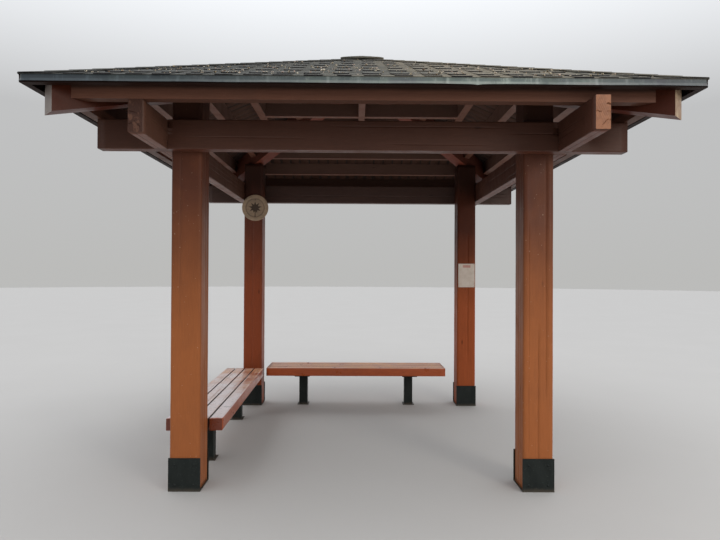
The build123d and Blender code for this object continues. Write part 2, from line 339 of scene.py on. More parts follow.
class Finish(Nodes):
    """A material in the making: its principled shader with the values that are the same all over, Object
    coordinates, and the colour so far."""

    def __init__(self, name, **fixed):
        self.material = bpy.data.materials.new(name)
        self.material.use_nodes = True
        super().__init__(self.material.node_tree)
        self.shader = self.tree.nodes.new("ShaderNodeBsdfPrincipled")
        out = self.tree.nodes.new("ShaderNodeOutputMaterial")
        self.fill(out.inputs[0], self.shader.outputs[0])
        self.fill_shader(**fixed)
        self.where = self.coordinates("Object")

    def fill_shader(self, **sockets):
        """Values or outputs for the shader's own sockets."""
        for key, value in sockets.items():
            self.fill(self.shader.inputs[key.replace("_", " ")], value)

    def noise(self, scale, stretch=(1, 1, 1), detail=4.0, roughness=0.55, distortion=0.0, at=(0, 0, 0),
              on=None):
        """Noise of a scale per metre, stretched by a Mapping node."""
        place = self.node("Mapping", Vector=self.where if on is None else on, Scale=stretch, Location=at)
        return self.node("TexNoise", Vector=place, Scale=scale, Detail=detail, Roughness=roughness,
                         Distortion=distortion)

    def mark(self, name):
        """A piece's own mark as a value."""
        node = self.tree.nodes.new("ShaderNodeAttribute")
        node.attribute_name = name
        return node.outputs["Fac"]

    def height(self):
        """Height over the ground."""
        return self.split(self.where)[2]

    def facing(self):
        """How far the surface looks up, from -1 to 1."""
        return self.split(self.tree.nodes.new("ShaderNodeNewGeometry").outputs["Normal"])[2]

    def apart(self):
        """Distances in X and Y from the middle of the pavilion."""
        return self.split(self.node("VectorMath", {"operation": "ABSOLUTE"}, i0=self.where))[:2]

    def start(self, share, first, second):
        """The ground colour: two colours mixed by a share."""
        self.colour = self.mix(share, first, second)

    def lay(self, share, colour, how="MIX"):
        """One more colour over the colour so far, by a share."""
        self.colour = self.mix(share, self.colour, colour, how)

    def patches(self, value, near, far, colour):
        """One more colour over the colour so far, where a ramp of a value through two stops brings it in."""
        self.lay(self.ramp(value, near, far), colour)

    def shade(self, tone):
        """The colour so far times a tone."""
        self.lay(1.0, tone, "MULTIPLY")

    def done(self, relief=None, strength=0.0, depth=0.0, **sockets):
        """The material, with the colour so far and a relief of a strength and depth."""
        self.fill_shader(Base_Color=self.colour, **sockets)
        if relief is not None:
            self.fill_shader(Normal=self.node("Bump", Strength=strength, Distance=depth, Height=relief))
        return self.material


RUN = {"x": (1, 14, 14), "y": (14, 1, 14), "z": (14, 14, 1)}  # the stretch of grain that runs along an axis


def dimmed(colour, share, more=0.0):
    """A colour times a share, with a little grey."""
    return tuple(min(1.0, share * c + more) for c in colour)


def painted(name, axis, fresh_and_shaded, faded_and_lit, low=1.45, high=2.35, chips=0.0, end=None, flake=None, bare_at=0.50,
            streaks=1.0, shine=0.22, below=(1.5, 1.2, 1.05), gloss=0.42, tint=None):
    """Red-brown paint on laminated timber: it goes from orange brown low down to dark high up, partly faded paint
    and partly painted shade under the roof, and posts go nearly black at the top as painted shade, with grain,
    drips of dirt, knots and chips. Faces that look down are multiplied by a tone: painted light, and painted
    shade on eave purlins. End faces have a colour of their own, with patches where the paint has flaked off. tint
    may lay
    more colour on it by place: painted light and shade, and the hips' primer."""
    paint = Finish(name, IOR=1.48, Specular_IOR_Level=shine)
    run = RUN[axis]
    grain, fine = paint.noise(9, run, 6, 0.62, 0.4), paint.noise(60, run, 5, 0.6)
    cloud = paint.noise(1.7, detail=3, distortion=0.6)
    level = paint.plus(paint.height(), paint.times(paint.minus(cloud, 0.5), 0.9))
    level = paint.maths("DIVIDE", level, 3.0)
    paint.start(paint.ramp(level, (low / 3, 1.0), (high / 3, 0.0)), fresh_and_shaded, faded_and_lit)
    paint.patches(grain, (0.40, 0.0), (0.72, 0.42 * streaks), dimmed(fresh_and_shaded, 0.62))
    paint.patches(fine, (0.52, 0.0), (0.80, 0.30 * streaks), dimmed(faded_and_lit, 1.25, 0.02))
    blotch = paint.noise(5.5, (1, 1, 0.5), 3, 0.6, 0.8, (3, 1, 2))
    paint.patches(blotch, (0.52, 0.0), (0.75, 0.22), dimmed(faded_and_lit, 0.55, 0.01))
    place = paint.node("Mapping", Vector=paint.where, Scale=tuple(0.35 if s == 1 else 1.0 for s in run))
    knot = paint.ramp(paint.node("TexVoronoi", Vector=place, Scale=7.0), (0.03, 1.0), (0.085, 0.0))
    paint.lay(paint.times(knot, 0.55), dimmed(fresh_and_shaded, 0.30))
    speck = paint.noise(75, detail=2, roughness=0.5, at=(4, 2, 1))
    chip = paint.ramp(speck, (0.735, 0.0), (0.75, 1.0))
    paint.lay(paint.times(chip, chips), (0.55, 0.40, 0.28))
    if axis == "z":
        # Posts go nearly black near their tops: painted shade under the roof.
        paint.patches(level, (0.76, 0.0), (0.88, 0.75), (0.030, 0.016, 0.012))
    else:
        # Faces that look down take the underside tone: painted light of the bounce from the floor, and painted
        # shade on the eave purlins.
        paint.lay(paint.maths("LESS_THAN", paint.facing(), -0.9), below, "MULTIPLY")
    if end:
        bare = paint.noise(22, (1, 1, 0.7), 5, 0.7, 0.6, (2, 6, 1))
        face = paint.mix(paint.ramp(bare, (bare_at - 0.03, 0.0), (bare_at + 0.03, 1.0)), end, flake)
        paint.lay(paint.mark("end"), face)
    if tint:
        tint(paint)
    relief = paint.plus(paint.times(grain, 0.6), paint.times(fine, 0.25))
    relief = paint.minus(relief, paint.times(paint.plus(chip, knot), 0.3))
    rough = paint.ramp(blotch, (0.25, gloss - 0.07), (0.75, gloss + 0.16))
    return paint.done(relief, 0.35, 0.0012, Roughness=rough)


def eave_painted_shade(paint):
    """Boards darken to nearly black over the eave, outside the purlins: painted shade."""
    out = paint.maths("MAXIMUM", *paint.apart())
    paint.shade(paint.ramp(paint.minus(out, 1.0), (0.80, 1.0), (0.88, 0.30)))


def hip_light_and_sawn_ends(paint):
    """Hips are paler near the posts as painted light and darker, more orange, outside as painted shade, with a
    pale primer on the sawn ends, which lie beyond a diagonal distance from the centre. Ends on the left take a
    darker grey-pink instead: painted shade."""
    reach = paint.plus(*paint.apart())
    bare = paint.noise(20, detail=5, roughness=0.7)
    primer = paint.mix(paint.ramp(bare, (0.42, 0.0), (0.62, 1.0)), (0.42, 0.31, 0.20), (0.29, 0.18, 0.115))
    # plain: the darker grey-pink of the left ends, painted shade.
    plain = paint.mix(bare, (0.18, 0.145, 0.130), (0.29, 0.245, 0.220))
    primer = paint.mix(paint.maths("GREATER_THAN", paint.split(paint.where)[0], 0.0), plain, primer)
    out = paint.maths("DIVIDE", reach, 4.0)
    # Painted light near the posts and painted shade outside.
    paint.shade(paint.ramp(out, (0.62, (1.75, 1.40, 1.40)), (0.74, (0.74, 0.40, 0.25))))
    paint.lay(paint.maths("GREATER_THAN", reach, 2 * HIP_REACH - 0.0015), primer)


def purlin_light_and_shade(paint):
    """An eave purlin is darker close under the boards, as painted shade, and paler over its lower half, as
    painted light, measured from its foot.
    """
    level = paint.plus(paint.minus(paint.height(), PURLIN_LOW), paint.times(paint.noise(3), 0.02))
    paint.shade(paint.ramp(paint.times(level, 5.0), (0.32, (2.20, 2.02, 1.90)), (0.42, (0.85, 0.90, 0.92))))


def black_steel():
    """Black paint on steel, with dust that settles low down, a few scratches and rust at the foot."""
    paint = Finish("black_steel", Metallic=0.0, IOR=1.5, Specular_IOR_Level=0.22)
    dust, fleck = paint.noise(14, (1, 1, 0.4), 5, 0.65, 0.3), paint.noise(130, detail=3)
    paint.start(paint.ramp(dust, (0.38, 0.0), (0.75, 0.6)), (0.008, 0.011, 0.010), (0.024, 0.029, 0.026))
    paint.patches(fleck, (0.66, 0.0), (0.72, 0.5), (0.10, 0.11, 0.10))
    level = paint.plus(paint.height(), paint.times(dust, 0.04))
    paint.patches(level, (0.015, 0.75), (0.05, 0.0), (0.095, 0.075, 0.055))
    return paint.done(fleck, 0.25, 0.0006, Roughness=paint.ramp(dust, (0.3, 0.38), (0.7, 0.62)))


def shingle_finish():
    """Mineral granules on shingles: each tab has its own tone and a dark cut butt, with grit, moss near the eave,
    and painted shade across the roof that is dark and bluish at the left, pales to the middle and darkens again
    at the far right."""
    paint = Finish("shingle", Roughness=0.93)
    grit, patch = paint.noise(420, detail=2, roughness=0.7), paint.noise(2.6, detail=5, roughness=0.6)
    paint.colour = paint.ramp(paint.mark("tone"), (0.0, (0.090, 0.080, 0.070)), (0.35, (0.135, 0.122, 0.103)),
                              (0.7, (0.170, 0.150, 0.126)), (1.0, (0.165, 0.135, 0.118)))
    paint.patches(patch, (0.35, 0.0), (0.7, 0.4), (0.115, 0.110, 0.092))
    paint.patches(grit, (0.40, 0.0), (0.62, 0.75), (0.22, 0.20, 0.17))
    paint.patches(grit, (0.30, 0.8), (0.42, 0.0), (0.020, 0.018, 0.016))
    damp = paint.noise(7, detail=6, roughness=0.7, at=(2, 5, 1))
    x, _, z = paint.split(paint.where)
    moss = paint.times(paint.ramp(damp, (0.54, 0.0), (0.68, 0.8)), paint.ramp(z, (2.70, 0.9), (2.95, 0.15)))
    paint.lay(moss, (0.065, 0.082, 0.050))
    # Painted shade across the roof by X, dark and bluish at the left.
    painted_shade_across_roof = paint.plus(paint.times(x, 0.25), paint.times(patch, 0.5))
    paint.shade(paint.ramp(painted_shade_across_roof, (0.06, (0.25, 0.27, 0.26)), (0.24, (0.46, 0.47, 0.42)),
                           (0.36, (0.94, 0.87, 0.70)), (0.48, (0.90, 0.83, 0.66)), (0.62, (0.62, 0.60, 0.50))))
    paint.lay(paint.mark("cut"), (0.006, 0.005, 0.005))
    return paint.done(grit, 0.6, 0.0015)


def edge_metal():
    """Weathered grey paint on folded metal: a dark slate face over a pale foot, with streaks that run down from
    the shingles, moss and pale lime. Along the front it is dark and bluish at the left, bright in the middle and
    darker at the right: painted shade and painted light. The UV map runs along the edge in metres and up it at 16
    per metre."""
    paint = Finish("edge_metal", Metallic=0.0, IOR=1.45)
    uv = paint.coordinates("UV")
    u, v, _ = paint.split(uv)
    streak = paint.noise(1.0, (14, 0.5, 1), 5, 0.7, on=uv)
    wide = paint.noise(1.0, (2.6, 0.25, 1), 4, 0.6, at=(7, 1, 0), on=uv)
    fine = paint.noise(1.0, (60, 1.2, 1), 3, 0.6, at=(1, 9, 0), on=uv)
    foot = paint.ramp(paint.plus(v, paint.times(streak, 0.08)), (0.25, 1.0), (0.33, 0.0))
    lip = paint.times(paint.ramp(v, (0.50, 0.0), (0.60, 1.0)), 0.6)
    slate = paint.ramp(wide, (0.30, (0.062, 0.066, 0.078)), (0.48, (0.070, 0.085, 0.088)),
                       (0.62, (0.082, 0.104, 0.098)), (0.75, (0.082, 0.080, 0.088)))
    pale = paint.ramp(wide, (0.30, (0.110, 0.112, 0.125)), (0.50, (0.150, 0.165, 0.160)),
                      (0.72, (0.165, 0.155, 0.155)))
    paint.start(paint.maths("MAXIMUM", foot, lip), slate, pale)
    paint.patches(streak, (0.52, 0.0), (0.68, 0.6), (0.20, 0.215, 0.205))
    paint.patches(streak, (0.32, 0.7), (0.44, 0.0), (0.040, 0.046, 0.048))
    paint.patches(fine, (0.60, 0.0), (0.74, 0.5), (0.26, 0.27, 0.26))
    green = paint.noise(1.0, (5, 0.8, 1), 5, 0.65, at=(3, 3, 0), on=uv)
    paint.patches(green, (0.56, 0.0), (0.70, 0.5), (0.080, 0.105, 0.085))
    gap = paint.maths("PINGPONG", paint.plus(u, TAB_PITCH / 2 - TAB_START + 20 * TAB_PITCH), TAB_PITCH / 2)
    under_gap = paint.ramp(paint.times(gap, 10.0), (0.02, 1.0), (0.13, 0.0))
    paint.lay(paint.times(under_gap, paint.ramp(wide, (0.44, 0.05), (0.60, 0.50))), (0.30, 0.32, 0.31))
    patch = paint.noise(1.0, (9, 0.2, 1), 3, 0.5, at=(5, 2, 0), on=uv)
    paint.patches(patch, (0.60, 0.0), (0.64, 0.55), (0.060, 0.075, 0.078))
    # Along the front edge: dark and bluish at the left, bright in the middle, darker at the right: painted shade
    # and painted light.
    along = paint.plus(paint.times(u, 0.2), paint.plus(paint.times(green, 0.24), 0.38))
    paint.shade(paint.ramp(along, (0.10, (0.25, 0.31, 0.38)), (0.26, (0.36, 0.42, 0.46)),
                           (0.38, (0.72, 0.76, 0.76)), (0.48, (1.12, 1.16, 1.10)), (0.64, (1.60, 1.66, 1.52)),
                           (0.78, (1.12, 1.12, 1.12)), (0.90, (0.66, 0.66, 0.70))))
    return paint.done(streak, 0.3, 0.001, Roughness=paint.ramp(streak, (0.3, 0.45), (0.7, 0.70)))


def plank_finish(name, axis, coat, dust):
    """Glossy red-brown paint on bench planks, worn to pale wood on top, with dark specks, a pale lilac layer on
    top that is dust and painted sheen, and near-black sides in the gaps between planks as painted shade.
    """
    paint = Finish(name, IOR=1.45, Coat_Weight=coat, Coat_Roughness=0.18)
    grain, fine = paint.noise(11, RUN[axis], 6, 0.65, 0.6), paint.noise(85, RUN[axis], 4, 0.6)
    wear = paint.noise(4.5, detail=5, roughness=0.65, distortion=0.5, at=(1, 4, 0))
    top = paint.ramp(paint.facing(), (0.60, 0.0), (0.95, 1.0))

    def on_top(value, near, far, colour):
        paint.lay(paint.times(paint.ramp(value, near, far), top), colour)

    paint.start(paint.ramp(grain, (0.36, 0.0), (0.66, 1.0)), (0.43, 0.085, 0.018), (0.30, 0.056, 0.013))
    on_top(wear, (0.34, 0.15), (0.66, 0.85), (0.68, 0.33, 0.13))
    # A pale lilac layer on top, stronger towards the front: dust and painted sheen.
    settled_dust_and_sheen = paint.noise(2.2, detail=4, roughness=0.6, at=(8, 1, 0))
    settled_dust_and_sheen = paint.minus(settled_dust_and_sheen, paint.times(paint.split(paint.where)[1], 0.22))
    on_top(settled_dust_and_sheen, (0.36, 0.1 * dust), (0.62, dust), (0.80, 0.74, 0.76))
    on_top(fine, (0.54, 0.0), (0.72, 0.6), (0.55, 0.42, 0.32))
    specks = paint.noise(48, detail=5, roughness=0.7, at=(5, 5, 0))
    on_top(specks, (0.58, 0.0), (0.66, 0.70), (0.045, 0.040, 0.030))
    paint.lay(paint.times(paint.mark("end"), 0.8), (0.085, 0.012, 0.002))
    # Plank sides in the gaps go near black: painted shade.
    paint.lay(paint.mark("gap"), (0.016, 0.009, 0.007))
    relief = paint.plus(paint.times(grain, 0.5), paint.times(fine, 0.25))
    return paint.done(relief, 0.35, 0.0012, Roughness=paint.ramp(wear, (0.3, 0.24), (0.7, 0.46)))


def bare_wood():
    """Weathered bare wood of the plaque: grey brown, with grain and dark stains."""
    paint = Finish("plaque_wood", Roughness=0.8)
    grain, stain = paint.noise(16, (1, 1, 9), 6, 0.65, 1.2), paint.noise(9, detail=4, roughness=0.6)
    paint.start(paint.ramp(grain, (0.35, 0.0), (0.70, 1.0)), (0.52, 0.38, 0.25), (0.35, 0.24, 0.155))
    paint.patches(stain, (0.45, 0.0), (0.75, 0.55), (0.27, 0.21, 0.155))
    # Dark where the plaque marks it: its motif, and painted shade in its hole and inside its rim.
    paint.lay(paint.mark("tone"), (0.050, 0.030, 0.019))
    return paint.done(grain, 0.5, 0.0012)


def notice_finish():
    """A plain weather-stained sheet with a faded red band near its head and nothing written on it."""
    paint = Finish("notice_board", Roughness=0.5)
    stain, grime = paint.noise(18, detail=5, roughness=0.65), paint.noise(60, (1, 1, 0.3), 4)
    paint.start(paint.ramp(stain, (0.35, 0.0), (0.72, 0.8)), (0.62, 0.54, 0.47), (0.50, 0.40, 0.32))
    paint.patches(grime, (0.56, 0.0), (0.78, 0.5), (0.36, 0.30, 0.25))
    paint.lay(paint.mark("tone"), (0.42, 0.13, 0.10))
    return paint.done(stain, 0.2, 0.0008)


def litter_finish():
    """Fallen petals and scraps of leaf: from straw and cream to brown."""
    paint = Finish("litter", Roughness=0.85)
    paint.colour = paint.ramp(paint.mark("tone"), (0.0, (0.20, 0.12, 0.07)), (0.25, (0.55, 0.44, 0.28)),
                              (0.60, (0.88, 0.80, 0.63)), (1.0, (0.80, 0.60, 0.50)))
    paint.patches(paint.noise(240, detail=2), (0.45, 0.0), (0.7, 0.4), (0.25, 0.18, 0.11))
    return paint.done()


def floor_finish():
    """A plain pale studio floor with a very faint mottle."""
    paint = Finish("studio_floor", Roughness=0.85)
    paint.start(paint.noise(0.8, detail=3), (0.44, 0.425, 0.405), (0.47, 0.455, 0.435))
    return paint.done()


DARK, DARKER, UNDER = (0.100, 0.040, 0.026), (0.078, 0.031, 0.020), (0.068, 0.046, 0.038)
# Brighter copies of the beam paint for the inner frame: painted light of the bounce that reaches the inner
# timbers.
INNER_LIT, INNER_LIT_LOW = (0.132, 0.072, 0.053), (0.155, 0.082, 0.060)
EAVE_TONES = (0.070, 0.034, 0.024), (0.080, 0.038, 0.026)

post_front = painted("painted_post_front", "z", (0.098, 0.029, 0.014), (0.34, 0.105, 0.030), 1.0, 2.15,
                     chips=0.6, streaks=0.4)
post_back = painted("painted_post_back", "z", (0.125, 0.040, 0.024), (0.27, 0.056, 0.016), chips=0.2,
                    streaks=0.5)
# The back right post is a shaded copy of the post paint: brighter low down as painted light, darker high up as
# painted shade.
post_back_right_shaded = painted("painted_post_back_right", "z", (0.068, 0.017, 0.008), (0.35, 0.082, 0.026), 1.1,
                          1.95, chips=0.2, streaks=0.5, shine=0.10)
beam_x = painted("painted_beam_x", "x", (0.068, 0.027, 0.017), (0.087, 0.035, 0.022), 2.2, 2.6)
beam_back = painted("painted_beam_back", "x", (0.068, 0.038, 0.030), (0.085, 0.046, 0.036), 2.2, 2.6)
beam_right = painted("painted_beam_right", "y", DARKER, DARK, 2.2, 2.6, end=(0.282, 0.120, 0.061),
                     flake=(0.235, 0.100, 0.052), streaks=0.7)
# The left beam's end is dark brown as painted shade, where the key light from the right does not reach; its pale
# flakes are primer.
beam_left_shaded_end = painted("painted_beam_left", "y", (0.105, 0.048, 0.031), (0.125, 0.056, 0.037), 2.2, 2.6,
                    end=(0.055, 0.022, 0.014), flake=(0.115, 0.052, 0.032), bare_at=0.57)
frame_wood, frame_side = (painted(f"painted_{part}", axis, INNER_LIT, INNER_LIT_LOW, 2.2, 2.9)
                          for part, axis in (("frame", "x"), ("frame_side", "y")))
hip_wood = painted("painted_hip", "x", DARKER, DARK, 2.2, 2.9, tint=hip_light_and_sawn_ends)
eave_x, eave_y = (painted(f"painted_eave_{axis}", axis, *EAVE_TONES, 2.2, 2.9, shine=0.12,
                          below=(0.60, 0.58, 0.56), tint=purlin_light_and_shade) for axis in "xy")
# The battens under the drip edge are near black: painted shade.
batten_painted_shade = painted("painted_batten", "x", (0.012, 0.006, 0.005), (0.015, 0.008, 0.006), 2.2, 2.9, shine=0.03)
# Deck boards, with painted shade over the eave.
soffit, soffit_side = (painted(f"stained_deck{part}", axis, UNDER, UNDER, 2.2, 3.2, gloss=0.6, shine=0.06,
                               tint=eave_painted_shade) for part, axis in (("", "y"), ("_side", "x")))
steel, shingle, metal = black_steel(), shingle_finish(), edge_metal()
# The pale layer on top, dust and painted sheen, is strong on the left bench.
plank_x, plank_y = (plank_finish(f"painted_plank_{axis}", axis, coat, dust)
                    for axis, coat, dust in (("x", 0.08, 0.10), ("y", 0.40, 0.85)))
plaque_wood, notice_sheet, litter = bare_wood(), notice_finish(), litter_finish()


# Timbers

SEAM = (0.0008, 0.003, 0, 2.4)  # width, depth, from, to
POST_SEAMS = {
    "front_left": [(1, 0.110, 0.0011, 0.004, 0, 2.4), (1, 0.158, 0.0007, 0.002, 0, 2.4),
                   (0, 0.062, 0.0005, 0.001, 1.2, 2.3), (3, 0.10, *SEAM), (2, 0.10, *SEAM)],
    "front_right": [(0, 0.104, 0.0010, 0.004, 0.25, 1.05), (0, 0.158, 0.0008, 0.003, 0.75, 2.35),
                    (0, 0.036, 0.0005, 0.001, 0.3, 1.8), (3, 0.100, 0.0011, 0.004, 0, 2.4),
                    (3, 0.150, 0.0008, 0.002, 0, 2.4), (1, 0.1, *SEAM)],
    "back_left": [(0, 0.10, 0.0007, 0.002, 0.3, 2.1), (1, 0.11, *SEAM), (2, 0.06, 0.0008, 0.003, 0, 2.2),
                  (2, 0.15, 0.0008, 0.003, 0.5, 2.4)],
    "back_right": [(0, 0.12, 0.0007, 0.002, 0.6, 1.9), (3, 0.10, 0.0009, 0.003, 0, 2.4), (2, 0.11, *SEAM),
                   (1, 0.09, *SEAM)],
}
RIGHT_CHECKS = [
    (-0.046, 0.006, -0.012, 0.003, 0.0014, 0.009),
    (0.018, 0.002, 0.046, 0.005, 0.0010, 0.006),
    (-0.012, -0.092, 0.018, -0.048, 0.0013, 0.008),
    (0.018, -0.048, 0.046, -0.044, 0.0013, 0.008),
    (0.022, 0.050, 0.046, 0.046, 0.0026, 0.012),
]
LEFT_CHECKS = [
    (-0.040, 0.030, 0.010, 0.016, 0.0012, 0.008),
    (-0.010, -0.030, 0.030, -0.072, 0.0013, 0.008),
    (-0.046, -0.050, -0.020, -0.046, 0.0016, 0.009),
]
PLAIN_CHECKS = [(-0.030, 0.050, 0.004, 0.020, 0.0018, 0.005), (-0.008, -0.080, 0.020, -0.024, 0.0020, 0.006)]


def make_posts():
    """Four posts with chamfered corners, seams between laminations and drying cracks, from shoe to hip."""
    stations = np.linspace(POST_LOW[2], POST_HIGH[2], 72)
    for seed, (corner, splits) in enumerate(POST_SEAMS.items()):
        x = POST_LINE if corner.endswith("right") else -POST_LINE
        y = POST_LINE if corner.startswith("back") else -POST_LINE
        shape = lumber(stations, POST, POST, POST_CHAMFER, splits, 40 + 11 * seed, step=0.018)
        points, faces, end = placed(shape, [(0, 0, 1), (1, 0, 0), (0, 1, 0)], (x, y, 0))
        finish = {"back_left": post_back, "back_right": post_back_right_shaded}.get(corner, post_front)
        piece(f"laminated_post_{corner}", [(points, faces)], finish, [f"post_{corner}"],
              marks={"end": end})


def make_beams():
    """The four lower beams with faint glue lines and checked ends, halved over each other at the corners."""
    middle, lap, room = BEAM_LOW + BEAM_H / 2, POST_LINE + POST / 2 + BEAM_B / 2, BEAM_B / 2 + LAP_GAP
    cuts = np.array([-lap - room, -lap + room, lap - room, lap + room])
    across, along = [(1, 0, 0), (0, -1, 0), (0, 0, 1)], [(0, 1, 0), (1, 0, 0), (0, 0, 1)]
    beams = {
        "front": (across, (0, -lap, middle), beam_x, PLAIN_CHECKS),
        "back": (across, (0, lap, middle), beam_back, PLAIN_CHECKS),
        "right": (along, (lap, 0, middle), beam_right, RIGHT_CHECKS),
        "left": (along, (-lap, 0, middle), beam_left_shaded_end, LEFT_CHECKS),
    }
    for seed, (side, (axes, origin, finish, checks)) in enumerate(beams.items()):
        lapped_under = axes is along
        near, far = (corner[int(lapped_under)] for corner in extent(f"beam_{side}"))
        stations = np.sort(np.concatenate([np.linspace(near, far, 64), cuts - 1e-5, cuts + 1e-5]))
        cut = np.abs(np.abs(stations) - lap) < room
        if lapped_under:
            bounds = {"low": np.where(cut, 0.0, -1.0), "step": 0.003, "draws": 40}
        else:
            bounds = {"high": np.where(cut, 0.0, 1.0)}
        rng = np.random.default_rng(300 + seed)
        splits = [(face, BEAM_H * share, 0.0005, 0.0014, *np.sort(rng.uniform(-2.2, 2.2, 2)))
                  for face in (1, 3) for share in (0.2, 0.4, 0.6, 0.8)]
        splits += [(0, BEAM_B * 0.45, 0.0007, 0.003, -1.9, 0.6), (0, BEAM_B * 0.7, 0.0006, 0.002, 0.1, 1.9),
                   (2, BEAM_B * 0.5, 0.0008, 0.003, -1.8, 1.8)]
        shape = lumber(stations, BEAM_B, BEAM_H, BEAM_CHAMFER, splits, 210 + 13 * seed,
                       checks=(checks, PLAIN_CHECKS), **bounds)
        points, faces, end = placed(shape, axes, origin)
        piece(f"laminated_beam_{side}", [(points, faces)], finish, [f"beam_{side}"],
              marks={"end": end})


def askew(points, near):
    """Points of the left bench, turned about the middle of its near end by the angle at which it stands."""
    x, y, z = np.moveaxis(points, -1, 0)
    x, y, c, s = x + POST_LINE, y - near, math.cos(ASKEW), math.sin(ASKEW)
    return np.stack([x * c - y * s - POST_LINE, x * s + y * c + near, z], -1)


def make_planks():
    """Bench planks with rounded edges, checks along their grain and slightly uneven tops."""
    pitch = PLANK_W + PLANK_GAP
    first = POST_LINE - 1.5 * pitch
    (start, _, _), (stop, _, seat) = extent("bench_back_planks")
    spans = {"bench_back": (start, stop, plank_x),
             "bench_left": (POST / 2 - POST_LINE + BENCH_CLEAR, first - PLANK_W / 2 - BENCH_GAP, plank_y)}
    for quarters, (name, (near, far, finish)) in enumerate(spans.items()):
        parts, ends, gap_shade = [], [], []
        for row in range(4):
            rng = np.random.default_rng(500 + 10 * row + quarters)
            splits = [(2, rng.uniform(0.2, 0.8) * PLANK_W, 0.0006, 0.003,
                       *(near + np.sort(rng.uniform(0, 2.1, 2)))) for _ in range(2)]
            splits += [(1, rng.uniform(0.3, 0.7) * PLANK_T, 0.0006, 0.002, near, near + rng.uniform(0.4, 1.6))]
            shape = lumber(np.linspace(near, far, 44), PLANK_W - 0.001, PLANK_T, PLANK_ROUND, splits,
                           520 + 7 * row + quarters, step=0.012, lean=0.0006)
            b, side = shape[0][:, 1], PLANK_W / 2 - 0.0025
            # Sides that face a neighbouring plank, marked for painted shade in the gaps.
            gap_shade.append(((b > side) & (row < 3)) | ((b < -side) & (row > 0)))
            points, faces, end = placed(shape, np.eye(3), (0, first + row * pitch, seat - PLANK_T / 2))
            points = turned(points, quarters)
            parts.append((askew(points, near) if quarters else points, faces))
            ends.append(end)
        marks = {"end": np.concatenate(ends), "gap": np.concatenate(gap_shade)}
        piece(f"{name}_boards", parts, finish, [f"{name}_planks"], marks=marks)


def make_soffit():
    """The deck of each slope as boards up the slope, mitred at the hips, with V-joints between them below."""
    edge, top, joint_half, joint_deep = EAVE - EDGE_T, DECK_T * STRETCH, 0.004, 0.005
    lines = np.linspace(-edge, edge, 36)
    left, right = lines[:-1, None], lines[1:, None]
    u = np.concatenate([left + joint_half, right - joint_half, right, right, left, left], 1)
    lift = np.array([0.0, 0.0, joint_deep, top, top, joint_deep])
    heads_and_feet = (np.maximum(np.abs(u), 0.0005), np.full(u.shape, edge))
    slabs = np.stack([np.stack([u, -s, underside(s) + lift], -1) for s in heads_and_feet], 1)
    points, groups = many(slabs.reshape(len(u), 12, 3), capped_tube(2, 6))
    for quarters, side in enumerate(SIDES):
        piece(f"deck_boards_{side}", [(turned(points, quarters), groups)], (soffit, soffit_side)[quarters % 2],
              [f"roof_deck_{side}"])


# Roof covering


def slabs_of(u0, u1, butt, head, thick_butt, thick_head, lift, setback):
    """Shingle slabs on the front slope: a rounded six-point profile from head to butt, carried over five places
    across from u0 to u1, and cut at each point to the hip lines less a setback."""
    u0, u1, butt, head, thick_butt, thick_head, lift = (
        np.broadcast_to(value, len(u0))[:, None, None]
        for value in (u0, u1, butt, head, thick_butt, thick_head, lift))
    share = np.array([0.0, 0.0, 0.9, 0.98, 1.0, 1.0])
    over = np.array([0.0, 1.0, 1.0, 1.0, 0.85, 0.0])
    place = np.linspace(0, 1, ACROSS)[:, None]
    s = head + (butt - head) * share
    limit = np.maximum(s - setback, 0.0)
    u = np.clip(u0 + (u1 - u0) * place, -limit, limit)
    s = np.broadcast_to(s, u.shape)
    thick = thick_head + (thick_butt - thick_head) * share + lift * (2 * place - 1) ** 2 * share**3
    return np.stack([u, -s, bed(s) + over * thick], -1).reshape(len(u), ACROSS * PROFILE, 3)


def make_shingles():
    """Courses of laminated shingles: a thin full course each, and raised tabs of uneven width in columns, which
    reach over two courses each but for the short ones at the eave."""
    step = EXPOSURE / STRETCH
    butts = SHINGLE_EDGE - step * np.arange(math.ceil(SHINGLE_EDGE / step))
    heads = np.maximum(butts - step - TUCK, 0.0005)
    strips = slabs_of(-butts, butts, butts - 0.002, heads, 0.0030, 0.0006, 0.0, 0.0)
    for quarters, side in enumerate(SIDES):
        rng = np.random.default_rng(700 + quarters)
        columns = np.arange(-12, 14) * TAB_PITCH + TAB_START + rng.normal(0, 0.004, 26)
        rows = []
        for course in [0, *range(1, len(butts), 2)]:
            middle = columns + rng.normal(0, 0.006, len(columns))
            width = rng.normal(TAB_WIDE, 0.007, len(columns))
            inside = np.abs(middle) - width / 2 < butts[course] - 0.04
            near, far, reach = middle - width / 2, middle + width / 2, step * min(course + 1, 2)
            rows.append(np.stack(np.broadcast_arrays(near, far, butts[course], reach))[:, inside])
        u0, u1, butt, reach = np.concatenate(rows, 1)
        n = len(u0)
        butt_now = butt - rng.uniform(0, 0.003, n)
        head = np.maximum(butt - reach - TUCK, 0.001)
        thick, lift = rng.uniform(*TAB_THICK, n), rng.uniform(0, 0.0005, n)
        tabs = slabs_of(u0, u1, butt_now, head, thick, 0.0012, lift, 0.01)
        points, groups = many(np.concatenate([tabs, strips]), capped_tube(ACROSS, PROFILE))
        tone = np.concatenate([np.clip(rng.normal(0.50, 0.18, n), 0, 1), rng.uniform(0.50, 0.70, len(butts))])
        cut = np.concatenate([np.tile([0, 0, 0, 1, 1, 1], ACROSS * n),
                              np.tile([0, 0, 0, 0, 0.1, 0.3], ACROSS * len(butts))])
        piece(f"shingle_tabs_{side}", [(turned(points, quarters), groups)], shingle,
              [f"shingles_{side}"], marks={"tone": np.repeat(tone, ACROSS * PROFILE), "cut": cut})


